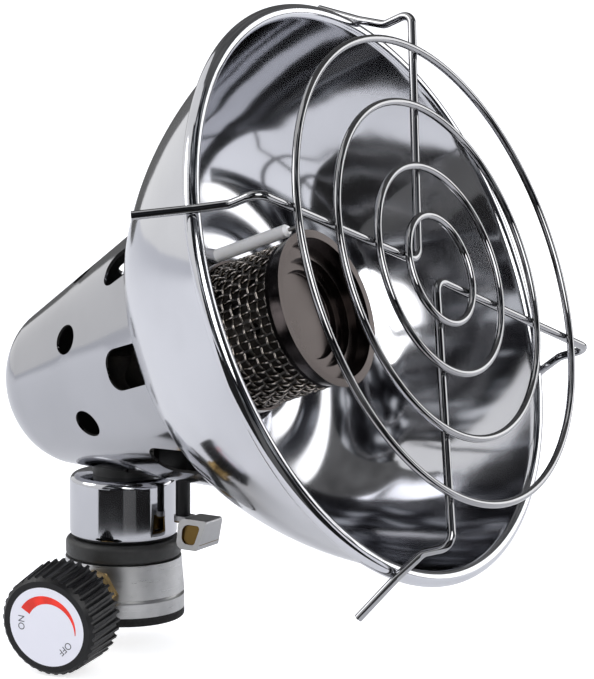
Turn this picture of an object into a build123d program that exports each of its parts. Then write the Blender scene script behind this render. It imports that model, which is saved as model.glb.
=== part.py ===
from build123d import *
import os
from math import cos, radians, sin, sqrt

# Portable propane heater: a radiant head on a valve that screws onto a threaded gas canister.
# Sizes are in millimetres. +Z is up, the bowl looks along -Y and the gas knob points along -X.
# The origin is the mouth of the canister thread, on the axis of the neck.

os.makedirs("parts", exist_ok=True)

# ---------------------------------------------------------------- driving sizes
# canister coupling and valve body
thread_radius = 5.15          # bore for the 7/16-28 UNEF nozzle of a canister
thread_length = 7.0
thread_boss_radius = 9.0
body_radius = 15.0
body_shoulder_radius = 14.3
body_bottom = 2.2
body_top = 15.0
spigot_radius = 8.0
spigot_top = 21.0
groove_height = 6.1
groove_depth = 0.5
seal_radius = 5.6
seal_thickness = 1.2
pin_head_radius = 2.2
pin_head_height = 0.9
pin_radius = 0.9
passage_radius = 1.3

# gas spindle and knob, on an axis that dips a little from the horizontal
spindle_height = 10.2         # where the spindle axis meets the neck axis
spindle_swing = 6.3           # degrees from -X towards -Y
spindle_dip = 7.3             # degrees below the horizontal
spindle_radius = 3.0
running_gap = 0.06            # radial gap of a turning or sliding fit
needle_chamber = 6.6          # distance from the neck axis to the needle's seat
needle_radius = 0.8
gland_thread_radius = 4.2
gland_thread_end = 9.5
gland_seat = 13.8             # flat on the valve body under the gland
gland_hex = 10.0              # across flats
gland_hex_end = 18.5
gland_neck_radius = 4.4
gland_end = 25.0
knob_back = 26.6
knob_front = 39.1
knob_back_radius = 13.0
knob_front_radius = 12.4
knob_wall = 1.6
knob_hub_radius = 5.5
knob_web = 35.2
flute_count = 36
flute_radius = 0.8
flute_centre_radius = 12.75
label_radius = 9.9
label_thickness = 0.8

# neck
sheet = 0.8                   # chromed steel sheet
collar_radius = 14.2
cup_radius = 13.2
cup_bottom = 19.8
cup_top = 35.5
cup_corner = 1.4
riser_radius = 4.0
riser_bore = 2.2
riser_foot = 16.0
washer_radius = 7.5
lock_nut_bottom = 41.0
lock_nut_top = 44.5
lock_nut_hex = 13.0

# radiant head: distances along the head axis are counted from the neck axis
head_height = 59.0
head_tilt = 21.0              # degrees that the bowl looks up
bowl_back = 34.8              # rear face of the bowl's flat floor
flare_radius = 93.0           # one arc makes the whole outside of the flare
flare_centre_radius = -21.9
flare_centre_distance = 102.3
floor_corner = 2.4
rim_start = 75.9
rim_curl = 1.5

# rear shroud, whose axis droops against the bowl's
shroud_droop = 3.0
shroud_radius = 38.7
shroud_taper = 20.0           # degrees, half the cone's angle
tail_centre = 47.8            # distance behind the bowl of the tail's ellipse
tail_depth = 16.5
tail_radius = 20.4
tail_tangent = 16.6           # degrees round the ellipse where the cone meets it
vent_count = 8
vent_radius = 3.6
vent_distance = 30.3
notch_width = 10.0
notch_depth = 15.8
notch_corner = 4.0
tab_count = 4
tab_width = 8.0
tab_length = 6.5

# burner
elbow_radius = 7.0
elbow_bottom = 51.5
elbow_top = 65.5
elbow_boss_radius = 5.5
elbow_boss_end = 11.0
jet_radius = 2.5
jet_end = 14.0
mixing_radius = 7.0
mixing_start = 8.2
mixing_collar_radius = 11.0
mixing_end = 38.6
mixing_spigot_radius = 8.0
air_hole_radius = 2.6
air_hole_distance = 17.0
burner_sheet = 0.6
burner_radius = 18.0
burner_lip = 38.6
burner_front = 57.2
core_radius = 15.5
core_port_radius = 1.5
cap_radius = 19.1
cap_front = 62.0
cap_rim = 1.6                 # width of the cap's raised rim
cap_step = 58.2               # floor inside the rim, then a well and a dimple in the well
well_radius = 13.6
well_floor = 56.2
dimple_radius = 11.2
dimple_floor = 54.8

# spark electrode, which lies along the top of the burner
electrode_radius = 20.6
electrode_angle = 6.0
ceramic_radius = 1.6
ceramic_start = 29.0
ceramic_end = 57.0
electrode_wire = 0.5
electrode_end = 60.6

# guard
guard_distance = 94.2         # plane of the ring wires
ring_wire = 0.9               # wire radii
arm_wire = 1.0
ring_radii = (12.9, 24.8, 40.2, 55.5)
arm_hook = (77.5, 66.0)       # radius and distance of the bends of an arm
arm_rim = (70.4, 77.2)        # where it lies in its notch in the rim
arm_rise = (66.5, 84.5)
arm_radius = 67.0
top_angle = 24.0
right_angle = 114.0
bottom_angle = 206.0
left_angle = 292.0

# piezo igniter, a block inside the shroud whose plunger hangs out below
igniter_axis = -17.5
igniter_width = 9.0
igniter_depth = 8.0
igniter_top = 51.0
nose_radius = 3.2             # fills the shroud's hole round the plunger
plunger_radius = 1.8
plunger_top = 44.0
plunger_pin_radius = 1.0
trigger_travel = 4.0
travel_spare = 0.5

# pressed trigger that hangs from the plunger
trigger_sheet = 0.9
trigger_top = 26.9
trigger_bottom = 19.6
trigger_front = -26.7
trigger_front_foot = -24.6
trigger_back = -18.6
trigger_top_width = 7.2
trigger_bottom_width = 9.7
trigger_frame = 1.3           # border left round the pressed sides
trigger_dish = 0.7            # depth of the pressed sides
tongue_radius = 2.2
tongue_thickness = 1.6
lead_radius = 1.0
lead_exit = 47.0

# ---------------------------------------------------------------- frames


def aimed_frame(origin, elevation):
    """Frame whose X is the object's X and whose Z looks forward, raised by some degrees."""
    forward = (0, -cos(radians(elevation)), sin(radians(elevation)))
    return Plane(origin=origin, x_dir=(1, 0, 0), z_dir=forward)


def lathe_plane(frame):
    """Sketch plane through a frame's axis: X is the radius and Y runs along the axis."""
    return Plane(origin=frame.origin, x_dir=frame.x_dir, z_dir=-frame.y_dir)


def lathe_axis(frame):
    """Axis that a frame's turned pieces are revolved about."""
    return Axis(frame.origin, frame.z_dir)


def radial_plane(frame, angle, distance):
    """Sketch plane on the axis that faces outwards at an angle clockwise from the top."""
    outward = frame.x_dir * sin(radians(angle)) + frame.y_dir * cos(radians(angle))
    return Plane(origin=frame.offset(distance).origin, x_dir=frame.z_dir, z_dir=outward)


def polar(radius, angle):
    """Sketch point at a radius and an angle clockwise from the top."""
    return (radius * sin(radians(angle)), radius * cos(radians(angle)))


neck = Plane.XY
head = aimed_frame((0, 0, head_height), head_tilt)
shroud_frame = aimed_frame(head.offset(bowl_back).origin, head_tilt - shroud_droop)
spindle = Plane(
    origin=(0, 0, spindle_height),
    x_dir=(sin(radians(spindle_swing)), -cos(radians(spindle_swing)), 0),
    z_dir=(
        -cos(radians(spindle_swing)) * cos(radians(spindle_dip)),
        -sin(radians(spindle_swing)) * cos(radians(spindle_dip)),
        -sin(radians(spindle_dip)),
    ),
)

# ---------------------------------------------------------------- coupling and valve body
seal_top = thread_length + seal_thickness
pin_seat = seal_top + pin_head_height

with BuildPart() as valve_body:
    with BuildSketch(lathe_plane(neck)):
        with BuildLine():
            Polyline(
                (thread_radius, 0),
                (thread_boss_radius, 0),
                (thread_boss_radius, body_bottom),
                (body_radius, body_bottom),
                (body_radius, groove_height - groove_depth),
                (body_radius - groove_depth, groove_height),
                (body_radius, groove_height + groove_depth),
                (body_shoulder_radius, body_top),
                (spigot_radius, body_top),
                (spigot_radius, spigot_top),
                (riser_radius, spigot_top),
                (riser_radius, riser_foot),
                (0, riser_foot),
                (0, pin_seat),
                (pin_head_radius, pin_seat),
                (pin_head_radius, seal_top),
                (seal_radius, seal_top),
                (seal_radius, thread_length),
                (thread_radius, thread_length),
                close=True,
            )
        make_face()
    revolve(axis=lathe_axis(neck))
    # flat for the gland, then its thread and the needle chamber behind it
    with BuildSketch(spindle.offset(gland_seat)):
        Circle(gland_hex / 2 + 1)
    extrude(amount=body_radius, mode=Mode.SUBTRACT)
    with BuildSketch(spindle.offset(gland_thread_end)):
        Circle(gland_thread_radius)
    extrude(amount=body_radius, mode=Mode.SUBTRACT)
    with BuildSketch(spindle.offset(needle_chamber)):
        Circle(spindle_radius + 0.4)
    extrude(amount=body_radius, mode=Mode.SUBTRACT)
    # gas way: up from the pin, out to the needle's seat, and from the chamber to the riser
    with BuildSketch(spindle):
        Circle(needle_radius)
    extrude(amount=needle_chamber, mode=Mode.SUBTRACT)
    with BuildSketch(neck.offset(pin_seat)):
        Circle(passage_radius)
    extrude(amount=spindle_height - pin_seat, mode=Mode.SUBTRACT)

with BuildPart() as base_ring:
    with BuildSketch(neck):
        Circle(body_radius)
        Circle(thread_boss_radius, mode=Mode.SUBTRACT)
    extrude(amount=body_bottom)
    fillet(base_ring.edges().group_by(Axis.Z)[0].sort_by(SortBy.RADIUS)[-1], radius=0.6)

with BuildPart() as canister_seal:
    with BuildSketch(neck.offset(thread_length)):
        Circle(seal_radius)
        Circle(pin_head_radius, mode=Mode.SUBTRACT)
    extrude(amount=seal_thickness)

with BuildPart() as canister_pin:
    with BuildSketch(neck.offset(seal_top)):
        Circle(pin_head_radius)
    extrude(amount=pin_head_height)
    with BuildSketch(neck.offset(seal_top)):
        Circle(pin_radius)
    extrude(amount=-seal_thickness + 0.1)

with BuildPart() as gland_nut:
    with BuildSketch(spindle.offset(gland_thread_end)):
        Circle(gland_thread_radius)
    extrude(amount=gland_seat - gland_thread_end)
    with BuildSketch(spindle.offset(gland_seat)):
        RegularPolygon(radius=gland_hex / 2, side_count=6, major_radius=False)
    extrude(amount=gland_hex_end - gland_seat)
    with BuildSketch(spindle.offset(gland_hex_end)):
        Circle(gland_neck_radius)
    extrude(amount=gland_end - gland_hex_end)
    with BuildSketch(spindle.offset(gland_thread_end)):
        Circle(spindle_radius + running_gap)
    extrude(amount=gland_end, mode=Mode.SUBTRACT)

# ---------------------------------------------------------------- gas spindle and knob
o_ring_wire = 0.7
o_ring_distance = 12.0
needle_tip = needle_chamber + 0.3
spindle_end = knob_web + 2.2

with BuildPart() as valve_stem:
    with BuildSketch(lathe_plane(spindle)):
        with BuildLine():
            Polyline(
                (0, needle_tip),
                (spindle_radius, needle_tip + 2.2),
                (spindle_radius, o_ring_distance - o_ring_wire),
                (spindle_radius - 2 * o_ring_wire, o_ring_distance - o_ring_wire),
                (spindle_radius - 2 * o_ring_wire, o_ring_distance + o_ring_wire),
                (spindle_radius, o_ring_distance + o_ring_wire),
                (spindle_radius, spindle_end),
                (0, spindle_end),
                close=True,
            )
        make_face()
    revolve(axis=lathe_axis(spindle))

with BuildPart() as stem_o_ring:
    with BuildSketch(lathe_plane(spindle)):
        with Locations((spindle_radius - o_ring_wire, o_ring_distance)):
            Circle(o_ring_wire)
    revolve(axis=lathe_axis(spindle))

with BuildPart() as knob:
    with BuildSketch(lathe_plane(spindle)):
        with BuildLine():
            Polyline(
                (spindle_radius, knob_back + 1.2),
                (knob_hub_radius, knob_back + 1.2),
                (knob_hub_radius, knob_web),
                (knob_front_radius - knob_wall, knob_web),
                (knob_back_radius - knob_wall, knob_back),
                (knob_back_radius, knob_back),
                (knob_front_radius, knob_front - 1.0),
                (knob_front_radius - 1.0, knob_front),
                (label_radius, knob_front),
                (label_radius, knob_front - label_thickness),
                (0, knob_front - label_thickness),
                (0, spindle_end),
                (spindle_radius, spindle_end),
                close=True,
            )
        make_face()
    revolve(axis=lathe_axis(spindle))
    with BuildSketch(spindle.offset(knob_back)):
        with PolarLocations(flute_centre_radius, flute_count):
            Circle(flute_radius)
    extrude(amount=knob_front - knob_back, mode=Mode.SUBTRACT)

with BuildPart() as knob_label:
    with BuildSketch(spindle.offset(knob_front - label_thickness)):
        Circle(label_radius)
    extrude(amount=label_thickness)

# ---------------------------------------------------------------- neck
with BuildPart() as neck_collar:
    with BuildSketch(neck.offset(body_top)):
        Circle(collar_radius)
        Circle(spigot_radius, mode=Mode.SUBTRACT)
    extrude(amount=cup_bottom - body_top)
    fillet(neck_collar.edges().filter_by(GeomType.CIRCLE).sort_by(SortBy.RADIUS)[-2:], radius=1.3)

with BuildPart() as neck_cup:
    with BuildSketch(lathe_plane(neck)):
        with BuildLine():
            FilletPolyline(
                (riser_radius, cup_top - sheet / 2),
                (cup_radius - sheet / 2, cup_top - sheet / 2),
                (cup_radius - sheet / 2, cup_bottom + sheet / 2),
                (spigot_radius + 2, cup_bottom + sheet / 2),
                radius=cup_corner,
            )
        trace(line_width=sheet)
    revolve(axis=lathe_axis(neck))

with BuildPart() as riser_tube:
    with BuildSketch(neck.offset(riser_foot)):
        Circle(riser_radius)
        Circle(riser_bore, mode=Mode.SUBTRACT)
    extrude(amount=elbow_bottom + 4 - riser_foot)

# ---------------------------------------------------------------- rear shroud
def shroud_half(inset):
    """Outline of the shroud from its axis to its wall, moved inwards by an inset."""
    slope = radians(shroud_taper)
    wall = inset / cos(slope)
    tail = EllipticalCenterArc(
        center=(0, -tail_centre),
        x_radius=tail_radius - inset,
        y_radius=tail_depth - inset,
        start_angle=-90,
        arc_size=90 - tail_tangent,
    )
    front = (shroud_radius - wall + 2 * sin(slope), 5.5)
    Polyline(tail @ 1, front, (0, front[1]), tail @ 0)


with BuildPart() as shroud_envelope:
    with BuildSketch(lathe_plane(shroud_frame)):
        with BuildLine():
            shroud_half(0)
        make_face()
    revolve(axis=lathe_axis(shroud_frame))
    split(bisect_by=head.offset(bowl_back), keep=Keep.BOTTOM)

with BuildPart() as shroud_cavity:
    with BuildSketch(lathe_plane(shroud_frame)):
        with BuildLine():
            shroud_half(sheet)
        make_face()
    revolve(axis=lathe_axis(shroud_frame))

with BuildPart() as shroud:
    add(shroud_envelope.part)
    add(shroud_cavity.part, mode=Mode.SUBTRACT)
    for number in range(vent_count):
        turn = 360 * number / vent_count
        with BuildSketch(radial_plane(shroud_frame, turn + 180 / vent_count, -vent_distance)):
            Circle(vent_radius)
        extrude(amount=shroud_radius, mode=Mode.SUBTRACT)
        with BuildSketch(radial_plane(shroud_frame, turn, 0)):
            RectangleRounded(2 * notch_depth, notch_width, notch_corner)
        extrude(amount=2 * shroud_radius, mode=Mode.SUBTRACT)
    # holes in the bottom for the riser and the igniter
    with BuildSketch(neck.offset(cup_top - 2)):
        Circle(riser_radius)
        with Locations((0, igniter_axis)):
            Circle(nose_radius)
    extrude(amount=8, mode=Mode.SUBTRACT)
    # tabs turned in behind the bowl, where they are spot welded
    with BuildSketch(head.offset(bowl_back)):
        for number in range(tab_count):
            turn = 360 / tab_count * number + 180 / vent_count
            with Locations(Location(polar(shroud_radius - 1 - tab_length / 2, turn), -turn)):
                Rectangle(tab_width, tab_length)
    extrude(amount=-sheet)

with BuildPart() as saddle_washer:
    with BuildSketch(neck.offset(cup_top)):
        Circle(washer_radius)
        Circle(riser_radius, mode=Mode.SUBTRACT)
    extrude(amount=5)
    add(shroud_envelope.part, mode=Mode.SUBTRACT)

with BuildPart() as clamp_saddle:
    with BuildSketch(neck.offset(cup_top)):
        Circle(washer_radius)
        Circle(riser_radius, mode=Mode.SUBTRACT)
    extrude(amount=lock_nut_bottom - cup_top)
    add(shroud_cavity.part, mode=Mode.INTERSECT)

with BuildPart() as lock_nut:
    with BuildSketch(neck.offset(lock_nut_bottom)):
        RegularPolygon(radius=lock_nut_hex / 2, side_count=6, major_radius=False)
        Circle(riser_radius, mode=Mode.SUBTRACT)
    extrude(amount=lock_nut_top - lock_nut_bottom)

# ---------------------------------------------------------------- guard
def guard_point(angle, radius, distance):
    """Point in the head's frame at an angle, a radius and a distance along the axis."""
    return (*polar(radius, angle), distance)


arm_distance = guard_distance - ring_wire - arm_wire


def guard_arm(angle):
    """Points of one arm from its hook behind the rim to the guard's plane."""
    return [
        guard_point(angle, *arm_hook),
        guard_point(angle, *arm_rim),
        guard_point(angle, *arm_rise),
        guard_point(angle, arm_radius, arm_distance),
    ]


guard_rings = []
for ring_radius in ring_radii:
    with BuildPart() as guard_ring:
        with BuildSketch(lathe_plane(head)):
            with Locations((ring_radius, guard_distance)):
                Circle(ring_wire)
        revolve(axis=lathe_axis(head))
    guard_rings.append(guard_ring)

arm_bends = [3.0, 3.0, 3.0, 4.0, 3.0, 3.0, 3.0]

with BuildPart() as guard_wire_top_left:
    with BuildLine(head) as wire_path:
        FilletPolyline(
            *guard_arm(top_angle),
            (-5.7, 3.0, arm_distance),
            *reversed(guard_arm(left_angle)),
            radius=arm_bends,
        )
    with BuildSketch(Plane(origin=wire_path.line @ 0, z_dir=wire_path.line % 0)):
        Circle(arm_wire)
    sweep(path=wire_path.line)

with BuildPart() as guard_wire_right_bottom:
    with BuildLine(head) as wire_path:
        FilletPolyline(
            *guard_arm(right_angle),
            (-0.3, -1.8, arm_distance),
            *reversed(guard_arm(bottom_angle)),
            radius=arm_bends,
        )
    with BuildSketch(Plane(origin=wire_path.line @ 0, z_dir=wire_path.line % 0)):
        Circle(arm_wire)
    sweep(path=wire_path.line)

# ---------------------------------------------------------------- bowl
def flare_point(distance):
    """Point on the middle of the flare's sheet at a distance along the head axis."""
    middle = flare_radius - sheet / 2
    offset_along = distance - flare_centre_distance
    return (flare_centre_radius + sqrt(middle**2 - offset_along**2), distance)


with BuildPart() as reflector_bowl:
    floor = bowl_back + sheet / 2
    with BuildSketch(lathe_plane(head)):
        with BuildLine() as bowl_line:
            Line((mixing_spigot_radius, floor), flare_point(floor))
            wall = RadiusArc(flare_point(floor), flare_point(rim_start), sheet / 2 - flare_radius)
            fillet(bowl_line.vertices().sort_by_distance(flare_point(floor))[0], floor_corner)
            JernArc(wall @ 1, wall % 1, radius=rim_curl, arc_size=-270)
        trace(line_width=sheet)
    revolve(axis=lathe_axis(head))
    with BuildSketch(head.offset(bowl_back - 1)):
        with Locations(polar(electrode_radius, electrode_angle)):
            Circle(ceramic_radius)
    extrude(amount=5, mode=Mode.SUBTRACT)
    # notches that the guard's arms lie in
    add(guard_wire_top_left.part, mode=Mode.SUBTRACT)
    add(guard_wire_right_bottom.part, mode=Mode.SUBTRACT)

# ---------------------------------------------------------------- gas way to the burner
with BuildPart() as elbow_block:
    with BuildSketch(neck.offset(elbow_bottom)):
        Circle(elbow_radius)
    extrude(amount=elbow_top - elbow_bottom)
    with BuildSketch(head):
        Circle(elbow_boss_radius)
    extrude(amount=elbow_boss_end)
    with BuildSketch(neck.offset(elbow_bottom)):
        Circle(riser_radius)
    extrude(amount=4, mode=Mode.SUBTRACT)
    with BuildSketch(neck.offset(elbow_bottom)):
        Circle(riser_bore)
    extrude(amount=head_height + riser_bore - elbow_bottom, mode=Mode.SUBTRACT)
    with BuildSketch(head):
        Circle(riser_bore)
    extrude(amount=elbow_boss_end, mode=Mode.SUBTRACT)

with BuildPart() as jet:
    with BuildSketch(head.offset(elbow_boss_end - 3)):
        Circle(riser_bore)
    extrude(amount=3)
    with BuildSketch(head.offset(elbow_boss_end)):
        RegularPolygon(radius=4, side_count=6)
    extrude(amount=1.6)
    with BuildSketch(head.offset(elbow_boss_end + 1.6)):
        Circle(jet_radius)
    extrude(amount=jet_end - elbow_boss_end - 1.6)
    with BuildSketch(head.offset(elbow_boss_end - 3)):
        Circle(0.4)
    extrude(amount=10, mode=Mode.SUBTRACT)

with BuildPart() as mixing_tube:
    with BuildSketch(lathe_plane(head)):
        with BuildLine():
            Polyline(
                (elbow_boss_radius, mixing_start),
                (mixing_radius, mixing_start),
                (mixing_radius, bowl_back - 2.5),
                (mixing_collar_radius, bowl_back - 2.5),
                (mixing_collar_radius, bowl_back),
                (mixing_spigot_radius, bowl_back),
                (mixing_spigot_radius, mixing_end),
                (elbow_boss_radius, mixing_end),
                close=True,
            )
        make_face()
    revolve(axis=lathe_axis(head))
    for turn in (45, 135, 225, 315):
        with BuildSketch(radial_plane(head, turn, air_hole_distance)):
            Circle(air_hole_radius)
        extrude(amount=mixing_radius + 1, mode=Mode.SUBTRACT)

# ---------------------------------------------------------------- burner
with BuildPart() as burner_flange:
    with BuildSketch(lathe_plane(head)):
        with BuildLine():
            Polyline(
                (mixing_spigot_radius, bowl_back + sheet + burner_sheet / 2),
                (burner_radius + burner_sheet / 2, bowl_back + sheet + burner_sheet / 2),
                (burner_radius + burner_sheet / 2, burner_lip),
            )
        trace(line_width=burner_sheet)
    revolve(axis=lathe_axis(head))

flange_front = bowl_back + sheet + burner_sheet

with BuildPart() as burner_mesh:
    with BuildSketch(head.offset(flange_front)):
        Circle(burner_radius)
        Circle(burner_radius - burner_sheet, mode=Mode.SUBTRACT)
    extrude(amount=burner_front - flange_front)

with BuildPart() as burner_core:
    with BuildSketch(head.offset(flange_front)):
        Circle(core_radius)
        Circle(core_radius - burner_sheet, mode=Mode.SUBTRACT)
    extrude(amount=cap_step - burner_sheet / 2 - flange_front)
    for row, distance in enumerate((41.0, 46.0, 51.0)):
        for number in range(8):
            with BuildSketch(radial_plane(head, 45 * number + 22.5 * (row % 2), distance)):
                Circle(core_port_radius)
            extrude(amount=core_radius + 1, mode=Mode.SUBTRACT)

with BuildPart() as burner_cap:
    skirt = burner_radius - burner_sheet / 2
    rim_front = cap_front - burner_sheet / 2
    with BuildSketch(lathe_plane(head)):
        with BuildLine() as cap_line:
            Polyline(
                (skirt, burner_front),
                (skirt, burner_front + 1),
                (cap_radius - burner_sheet / 2, rim_front),
                (cap_radius - cap_rim, rim_front),
                (cap_radius - cap_rim - 0.4, cap_step),
                (well_radius, cap_step),
                (well_radius - 0.4, well_floor),
                (dimple_radius, well_floor),
                (dimple_radius - 0.3, dimple_floor),
                (0, dimple_floor),
            )
            rim_corners = cap_line.vertices().group_by(Axis(head.origin, head.z_dir))[-1]
            fillet(rim_corners, radius=0.5)
        trace(line_width=burner_sheet)
    revolve(axis=lathe_axis(head))

# ---------------------------------------------------------------- spark electrode
electrode = Plane(
    origin=head.from_local_coords(Vector(*polar(electrode_radius, electrode_angle), 0)),
    x_dir=head.x_dir,
    z_dir=head.z_dir,
)

with BuildPart() as electrode_insulator:
    with BuildSketch(lathe_plane(electrode)):
        with BuildLine():
            Polyline(
                (electrode_wire, ceramic_start),
                (ceramic_radius, ceramic_start),
                (ceramic_radius, bowl_back - 3),
                (ceramic_radius + 1, bowl_back - 3),
                (ceramic_radius + 1, bowl_back),
                (ceramic_radius, bowl_back),
                (ceramic_radius, ceramic_end - 0.8),
                (ceramic_radius - 0.6, ceramic_end),
                (electrode_wire, ceramic_end),
                close=True,
            )
        make_face()
    revolve(axis=lathe_axis(electrode))

with BuildPart() as electrode_pin:
    with BuildSketch(electrode.offset(ceramic_start)):
        Circle(electrode_wire)
    extrude(amount=electrode_end - ceramic_start)

# ---------------------------------------------------------------- piezo igniter
plunger_place = Plane((0, igniter_axis, 0))
trigger_height = trigger_top - trigger_bottom

with BuildPart() as igniter_body:
    # block that rests on the inside of the shroud
    with BuildSketch(plunger_place.offset(cup_top - 2)):
        Rectangle(igniter_width, igniter_depth)
    extrude(amount=igniter_top - cup_top + 2)
    add(shroud_cavity.part, mode=Mode.INTERSECT)
    # nose in the shroud's hole, flush with the outside
    with BuildSketch(plunger_place.offset(cup_top - 2)):
        Circle(nose_radius)
    extrude(amount=6)
    add(shroud_envelope.part, mode=Mode.INTERSECT)
    with BuildSketch(plunger_place.offset(trigger_top)):
        Circle(plunger_radius + running_gap)
    extrude(amount=plunger_top + trigger_travel + travel_spare - trigger_top, mode=Mode.SUBTRACT)


def trigger_side(inset, back_corner, front_corner):
    """Side outline of the trigger, moved inwards by an inset."""
    lean = trigger_front_foot - trigger_front
    FilletPolyline(
        (trigger_back - inset, trigger_top - inset),
        (trigger_front + inset + lean * inset / trigger_height, trigger_top - inset),
        (trigger_front_foot + inset - lean * inset / trigger_height, trigger_bottom + inset),
        (trigger_back - inset, trigger_bottom + inset),
        radius=[back_corner, front_corner, front_corner, back_corner],
        close=True,
    )


def trigger_front_view(inset):
    """Front outline of the trigger, narrower at the top, with its sides moved inwards."""
    Polyline(
        (-trigger_top_width / 2 + inset, trigger_top),
        (trigger_top_width / 2 - inset, trigger_top),
        (trigger_bottom_width / 2 - inset, trigger_bottom),
        (-trigger_bottom_width / 2 + inset, trigger_bottom),
        close=True,
    )


with BuildPart() as trigger_dishes:
    # everything between the outer faces of the sides and their pressed faces
    with BuildSketch(Plane.XZ.offset(-trigger_front)):
        with BuildLine():
            trigger_front_view(-1.0)
        make_face()
        with BuildLine():
            trigger_front_view(trigger_dish)
        make_face(mode=Mode.SUBTRACT)
    extrude(amount=-10)
    with BuildSketch(Plane.YZ.offset(-trigger_bottom_width)):
        with BuildLine():
            trigger_side(trigger_frame, 1.8, 0.8)
        make_face()
    extrude(amount=2 * trigger_bottom_width, mode=Mode.INTERSECT)

with BuildPart() as trigger_hollow:
    # hollow between the sides, open at the back
    with BuildSketch(Plane.XZ.offset(-trigger_front)):
        with BuildLine():
            trigger_front_view(trigger_dish + trigger_sheet)
        make_face()
    extrude(amount=-10)
    with BuildSketch(Plane.YZ.offset(-trigger_bottom_width)):
        with BuildLine():
            trigger_side(trigger_sheet, 0.6, 0.4)
        make_face()
        with Locations((trigger_back, (trigger_top + trigger_bottom) / 2)):
            Rectangle(4, trigger_height - 2 * trigger_sheet - 2)
    extrude(amount=2 * trigger_bottom_width, mode=Mode.INTERSECT)

with BuildPart() as igniter_trigger:
    with BuildSketch(Plane.YZ.offset(-trigger_bottom_width / 2)):
        with BuildLine():
            trigger_side(0, 1.8, 0.6)
        make_face()
    extrude(amount=trigger_bottom_width)
    with BuildSketch(Plane.XZ.offset(-trigger_front)):
        with BuildLine():
            trigger_front_view(0)
        make_face()
    extrude(amount=-10, mode=Mode.INTERSECT)
    add(trigger_dishes.part, mode=Mode.SUBTRACT)
    add(trigger_hollow.part, mode=Mode.SUBTRACT)
    # tongue under the plunger
    with BuildSketch(plunger_place.offset(trigger_top)):
        Circle(tongue_radius)
        with Locations((0, (trigger_back - igniter_axis) / 2 - 0.5)):
            Rectangle(2 * tongue_radius, igniter_axis - trigger_back + 1)
    extrude(amount=-tongue_thickness)
    with BuildSketch(plunger_place.offset(trigger_top)):
        Circle(plunger_pin_radius)
    extrude(amount=-tongue_thickness, mode=Mode.SUBTRACT)

with BuildPart() as igniter_plunger:
    with BuildSketch(plunger_place.offset(trigger_top)):
        Circle(plunger_radius)
    extrude(amount=plunger_top - trigger_top)
    with BuildSketch(plunger_place.offset(trigger_top)):
        Circle(plunger_pin_radius)
    extrude(amount=-tongue_thickness)

with BuildPart() as ignition_lead:
    with BuildLine() as lead_path:
        lead_end = electrode.offset(ceramic_start).origin
        FilletPolyline(
            (igniter_width / 2, igniter_axis, lead_exit),
            (12.5, igniter_axis, lead_exit),
            (13.5, -12.0, 62.0),
            (13.5, -9.0, 79.0),
            electrode.offset(ceramic_start - 12).origin,
            lead_end,
            radius=[3.0, 7.0, 7.0, 5.0],
        )
    with BuildSketch(Plane(origin=lead_path.line @ 0, z_dir=lead_path.line % 0)):
        Circle(lead_radius)
    sweep(path=lead_path.line)

# ---------------------------------------------------------------- files
pieces = {
    "valve_body": valve_body,
    "base_ring": base_ring,
    "canister_seal": canister_seal,
    "canister_pin": canister_pin,
    "gland_nut": gland_nut,
    "valve_stem": valve_stem,
    "stem_o_ring": stem_o_ring,
    "knob": knob,
    "knob_label": knob_label,
    "neck_collar": neck_collar,
    "neck_cup": neck_cup,
    "riser_tube": riser_tube,
    "shroud": shroud,
    "saddle_washer": saddle_washer,
    "clamp_saddle": clamp_saddle,
    "lock_nut": lock_nut,
    "reflector_bowl": reflector_bowl,
    "elbow_block": elbow_block,
    "jet": jet,
    "mixing_tube": mixing_tube,
    "burner_flange": burner_flange,
    "burner_core": burner_core,
    "burner_mesh": burner_mesh,
    "burner_cap": burner_cap,
    "electrode_insulator": electrode_insulator,
    "electrode_pin": electrode_pin,
    "guard_ring_1": guard_rings[0],
    "guard_ring_2": guard_rings[1],
    "guard_ring_3": guard_rings[2],
    "guard_ring_4": guard_rings[3],
    "guard_wire_top_left": guard_wire_top_left,
    "guard_wire_right_bottom": guard_wire_right_bottom,
    "igniter_body": igniter_body,
    "igniter_trigger": igniter_trigger,
    "igniter_plunger": igniter_plunger,
    "ignition_lead": ignition_lead,
}
for name, piece in pieces.items():
    piece.part.label = name
    export_step(piece.part, f"parts/{name}.step")
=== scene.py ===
"""Looks of a portable propane heater: chromed bowl and shroud, wire guard, woven burner and valve."""

from math import asin, atan2, cos, degrees, radians, sin, sqrt, tau

import bmesh
import bpy
from bpy.props import FloatProperty, FloatVectorProperty, IntProperty, PointerProperty
from mathutils import Matrix, Vector


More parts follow.
